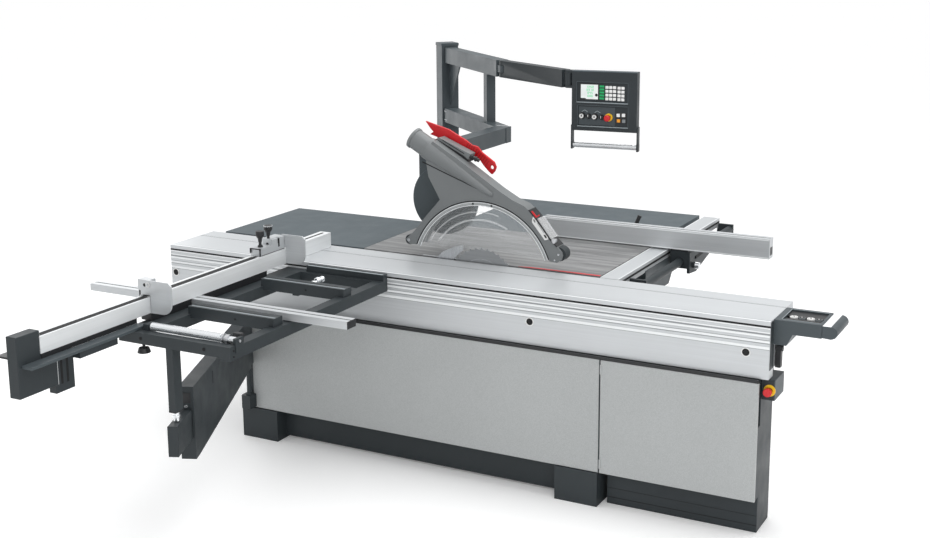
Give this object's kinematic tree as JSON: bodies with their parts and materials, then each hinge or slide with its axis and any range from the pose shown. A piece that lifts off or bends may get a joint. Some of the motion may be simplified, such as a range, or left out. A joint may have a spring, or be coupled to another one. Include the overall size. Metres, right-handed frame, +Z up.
{
  "type": "sliding table panel saw",
  "caption": "Sliding-table panel saw with crosscut fence, tilting circular blade, overhead guard, rip fence and a swivelling control panel.",
  "frame": {"origin": "centre of the machine's footprint on the floor", "axes": "+X along the sliding carriage towards the operator's end, +Y across the table away from the carriage, +Z up"},
  "size_m": [3.25, 3.592, 1.785],
  "materials": {
    "dark_paint": "fine-textured anthracite powder coat",
    "blue_grey_paint": "satin blue-grey paint",
    "panel_paint": "speckled light grey textured paint",
    "cabinet_paint": "light grey textured paint",
    "hood_paint": "satin mid grey",
    "anodised": "anodised extrusion, drawn along its length",
    "cast_iron": "ground, streaked along X",
    "steel": "ground steel",
    "chrome": "polished",
    "black_plastic": "matte black",
    "white_plastic": "smooth white",
    "red_plastic": "signal red",
    "orange_plastic": "orange",
    "clear_plastic": "clear polycarbonate"
  },
  "bodies": {
    "machine": {"base_frame": "dark_paint", "front_panel": "panel_paint", "cabinet_right": "cabinet_paint", "guide_rail": "steel", "table_cast_iron": "cast_iron", "table_rear": "dark_paint", "table_rip": "dark_paint", "table_leg": "dark_paint", "cross_rail": "anodised", "post": "blue_grey_paint", "beam_lower": "blue_grey_paint", "beam_upper": "blue_grey_paint", "guard_beam": "blue_grey_paint", "estop_box": "dark_paint"},
    "door": {"cabinet_door": "panel_paint"},
    "estop_box_button": {"estop_box_button": "red_plastic"},
    "carriage": {"carriage": "anodised", "console_tray": "blue_grey_paint", "push_handle": "steel"},
    "console_button_1": {"console_button_1": "white_plastic"},
    "console_button_2": {"console_button_2": "black_plastic"},
    "console_button_3": {"console_button_3": "white_plastic"},
    "console_button_4": {"console_button_4": "black_plastic"},
    "carriage_lock": {"carriage_lock": "black_plastic"},
    "crosscut_table": {"crosscut_frame": "dark_paint"},
    "front_roller": {"front_roller": "chrome"},
    "levelling_knob": {"levelling_knob": "black_plastic"},
    "support_bar": {"support_bar": "anodised"},
    "crosscut_fence": {"fence_profile": "anodised"},
    "fence_extension": {"fence_extension": "anodised"},
    "stop_inner": {"stop_inner": "anodised"},
    "stop_inner_flap": {"stop_inner_flap": "white_plastic"},
    "stop_outer": {"stop_outer": "anodised"},
    "stop_outer_flap": {"stop_outer_flap": "white_plastic"},
    "support_arm": {"support_arm": "dark_paint"},
    "support_arm_inner": {"support_arm_inner": "dark_paint"},
    "saw_trunnion": {"saw_trunnion": "cast_iron"},
    "saw_arm": {"saw_arm": "cast_iron", "drive_motor": "blue_grey_paint", "riving_knife": "steel"},
    "main_blade": {"main_blade": "steel"},
    "scoring_blade": {"scoring_blade": "steel"},
    "hood": {"hood": "hood_paint", "hood_window": "clear_plastic"},
    "hood_roller_rear": {"hood_roller_rear": "steel"},
    "hood_roller_front": {"hood_roller_front": "steel"},
    "push_stick": {"push_stick": "red_plastic"},
    "swing_arm": {"swing_arm": "blue_grey_paint"},
    "control_panel": {"panel_housing": "blue_grey_paint", "panel_handle": "chrome"},
    "panel_estop": {"panel_estop": "red_plastic"},
    "panel_knob_1": {"panel_knob_1": "white_plastic"},
    "panel_knob_2": {"panel_knob_2": "white_plastic"},
    "panel_key_1": {"panel_key_1": "white_plastic"},
    "panel_key_2": {"panel_key_2": "white_plastic"},
    "panel_key_3": {"panel_key_3": "orange_plastic"},
    "panel_key_4": {"panel_key_4": "dark_paint"},
    "fence_saddle": {"fence_saddle": "dark_paint"},
    "rip_fence": {"rip_fence": "anodised"},
    "fence_lever": {"fence_lever": "black_plastic"}
  },
  "joints": [
    {"name": "cabinet_door_swing", "type": "hinge", "parent": "machine", "child": "door", "pos_m": [0.6712, -0.10446, 0.405], "axis": [0, 0, -1], "range_deg": [0, 90]},
    {"name": "estop_box_press", "type": "slide", "parent": "machine", "child": "estop_box_button", "axis": [0, 1, 0], "range_m": [0, 0.003], "stiffness_N_per_m": 300},
    {"name": "carriage_slide", "type": "slide", "parent": "machine", "child": "carriage", "axis": [1, 0, 0], "range_m": [-1.2, 1.2]},
    {"name": "console_button_1_press", "type": "slide", "parent": "carriage", "child": "console_button_1", "axis": [0, 0, -1], "range_m": [0, 0.004], "stiffness_N_per_m": 300},
    {"name": "console_button_2_press", "type": "slide", "parent": "carriage", "child": "console_button_2", "axis": [0, 0, -1], "range_m": [0, 0.004], "stiffness_N_per_m": 300},
    {"name": "console_button_3_press", "type": "slide", "parent": "carriage", "child": "console_button_3", "axis": [0, 0, -1], "range_m": [0, 0.004], "stiffness_N_per_m": 300},
    {"name": "console_button_4_press", "type": "slide", "parent": "carriage", "child": "console_button_4", "axis": [0, 0, -1], "range_m": [0, 0.004], "stiffness_N_per_m": 300},
    {"name": "carriage_lock_turn", "type": "hinge", "parent": "carriage", "child": "carriage_lock", "pos_m": [1.389, 0.00404, 0.782], "axis": [1, 0, 0], "range_deg": [0, 60]},
    {"name": "crosscut_table_slide", "type": "slide", "parent": "carriage", "child": "crosscut_table", "axis": [1, 0, 0], "range_m": [-0.4, 0.6]},
    {"name": "front_roller_spin", "type": "hinge", "parent": "crosscut_table", "child": "front_roller", "pos_m": [-0.586, -1.17796, 0.893], "axis": [1, 0, 0], "continuous": true},
    {"name": "levelling_knob_turn", "type": "hinge", "parent": "crosscut_table", "child": "levelling_knob", "pos_m": [-0.815, -1.21596, 0.81], "axis": [0, 0, 1], "continuous": true},
    {"name": "support_bar_slide", "type": "slide", "parent": "crosscut_table", "child": "support_bar", "axis": [1, 0, 0], "range_m": [-0.15, 0.4]},
    {"name": "fence_mitre", "type": "hinge", "parent": "crosscut_table", "child": "crosscut_fence", "pos_m": [-0.9135, 0.19404, 0.92], "axis": [0, 0, 1], "range_deg": [-45, 0]},
    {"name": "fence_extension_slide", "type": "slide", "parent": "crosscut_fence", "child": "fence_extension", "axis": [0, -1, 0], "range_m": [-0.08, 0.35]},
    {"name": "stop_inner_slide", "type": "slide", "parent": "crosscut_fence", "child": "stop_inner", "axis": [0, -1, 0], "range_m": [0, 0.4]},
    {"name": "stop_outer_slide", "type": "slide", "parent": "crosscut_fence", "child": "stop_outer", "axis": [0, 1, 0], "range_m": [0, 0.25]},
    {"name": "stop_inner_flip", "type": "hinge", "parent": "stop_inner", "child": "stop_inner_flap", "pos_m": [-0.894, -0.14696, 1.03], "axis": [0, -1, 0], "range_deg": [0, 90]},
    {"name": "stop_outer_flip", "type": "hinge", "parent": "stop_outer", "child": "stop_outer_flap", "pos_m": [-0.894, -1.08096, 1.03], "axis": [0, -1, 0], "range_deg": [0, 90]},
    {"name": "support_arm_swing", "type": "hinge", "parent": "machine", "child": "support_arm", "pos_m": [-1.141, -0.13096, 0.5], "axis": [0, 0, 1], "range_deg": [-46, 46]},
    {"name": "support_arm_telescope", "type": "slide", "parent": "support_arm", "child": "support_arm_inner", "axis": [0.3983, -0.9173, 0], "range_m": [-0.3, 0.3]},
    {"name": "saw_tilt", "type": "hinge", "parent": "machine", "child": "saw_trunnion", "pos_m": [-0.076, 0.26404, 0.91], "axis": [1, 0, 0], "range_deg": [0, 46]},
    {"name": "saw_rise", "type": "slide", "parent": "saw_trunnion", "child": "saw_arm", "axis": [0, 0, 1], "range_m": [-0.08, 0.03]},
    {"name": "main_blade_spin", "type": "hinge", "parent": "saw_arm", "child": "main_blade", "pos_m": [-0.076, 0.26404, 0.807], "axis": [0, 1, 0], "continuous": true},
    {"name": "scoring_blade_spin", "type": "hinge", "parent": "saw_trunnion", "child": "scoring_blade", "pos_m": [0.199, 0.26404, 0.846], "axis": [0, 1, 0], "continuous": true},
    {"name": "hood_lift", "type": "slide", "parent": "machine", "child": "hood", "axis": [0, 0, 1], "range_m": [-0.035, 0.2]},
    {"name": "hood_roller_rear_spin", "type": "hinge", "parent": "hood", "child": "hood_roller_rear", "pos_m": [-0.446, 0.26404, 0.989], "axis": [0, 1, 0], "continuous": true},
    {"name": "hood_roller_front_spin", "type": "hinge", "parent": "hood", "child": "hood_roller_front", "pos_m": [0.325, 0.26404, 0.999], "axis": [0, 1, 0], "continuous": true},
    {"name": "push_stick_lift", "type": "slide", "parent": "hood", "child": "push_stick", "axis": [0, 0, 1], "range_m": [0, 0.15]},
    {"name": "swing_arm_turn", "type": "hinge", "parent": "machine", "child": "swing_arm", "pos_m": [-0.37011, 1.09318, 1.7175], "axis": [0, 0, 1], "range_deg": [-20, 50]},
    {"name": "panel_turn", "type": "hinge", "parent": "swing_arm", "child": "control_panel", "pos_m": [0.11784, 0.8012, 1.7175], "axis": [0, 0, 1], "range_deg": [-30, 30]},
    {"name": "panel_estop_press", "type": "slide", "parent": "control_panel", "child": "panel_estop", "axis": [-0.1011, 0.9949, 0], "range_m": [0, 0.003], "stiffness_N_per_m": 300},
    {"name": "panel_knob_1_turn", "type": "hinge", "parent": "control_panel", "child": "panel_knob_1", "pos_m": [0.19393, 0.78632, 1.5464], "axis": [-0.1011, 0.9949, 0], "range_deg": [-135, 135]},
    {"name": "panel_knob_2_turn", "type": "hinge", "parent": "control_panel", "child": "panel_knob_2", "pos_m": [0.25661, 0.79268, 1.5437], "axis": [-0.1011, 0.9949, 0], "range_deg": [-45, 45]},
    {"name": "panel_key_1_press", "type": "slide", "parent": "control_panel", "child": "panel_key_1", "axis": [-0.1011, 0.9949, 0], "range_m": [0, 0.003], "stiffness_N_per_m": 300},
    {"name": "panel_key_2_press", "type": "slide", "parent": "control_panel", "child": "panel_key_2", "axis": [-0.1011, 0.9949, 0], "range_m": [0, 0.003], "stiffness_N_per_m": 300},
    {"name": "panel_key_3_press", "type": "slide", "parent": "control_panel", "child": "panel_key_3", "axis": [-0.1011, 0.9949, 0], "range_m": [0, 0.003], "stiffness_N_per_m": 300},
    {"name": "panel_key_4_press", "type": "slide", "parent": "control_panel", "child": "panel_key_4", "axis": [-0.1011, 0.9949, 0], "range_m": [0, 0.003], "stiffness_N_per_m": 300},
    {"name": "fence_saddle_slide", "type": "slide", "parent": "machine", "child": "fence_saddle", "axis": [0, 1, 0], "range_m": [-0.48, 0.6]},
    {"name": "rip_fence_slide", "type": "slide", "parent": "fence_saddle", "child": "rip_fence", "axis": [1, 0, 0], "range_m": [-0.05, 0.35]},
    {"name": "fence_lever_turn", "type": "hinge", "parent": "fence_saddle", "child": "fence_lever", "pos_m": [0.374, 1.00404, 0.95], "axis": [0, 1, 0], "range_deg": [-60, 0]}
  ],
  "couplings": [
    {"joint": "support_arm_swing", "follows": "carriage_slide", "rad_per_m": 0.666},
    {"joint": "support_arm_telescope", "follows": "carriage_slide", "ratio": 0.25}
  ]
}
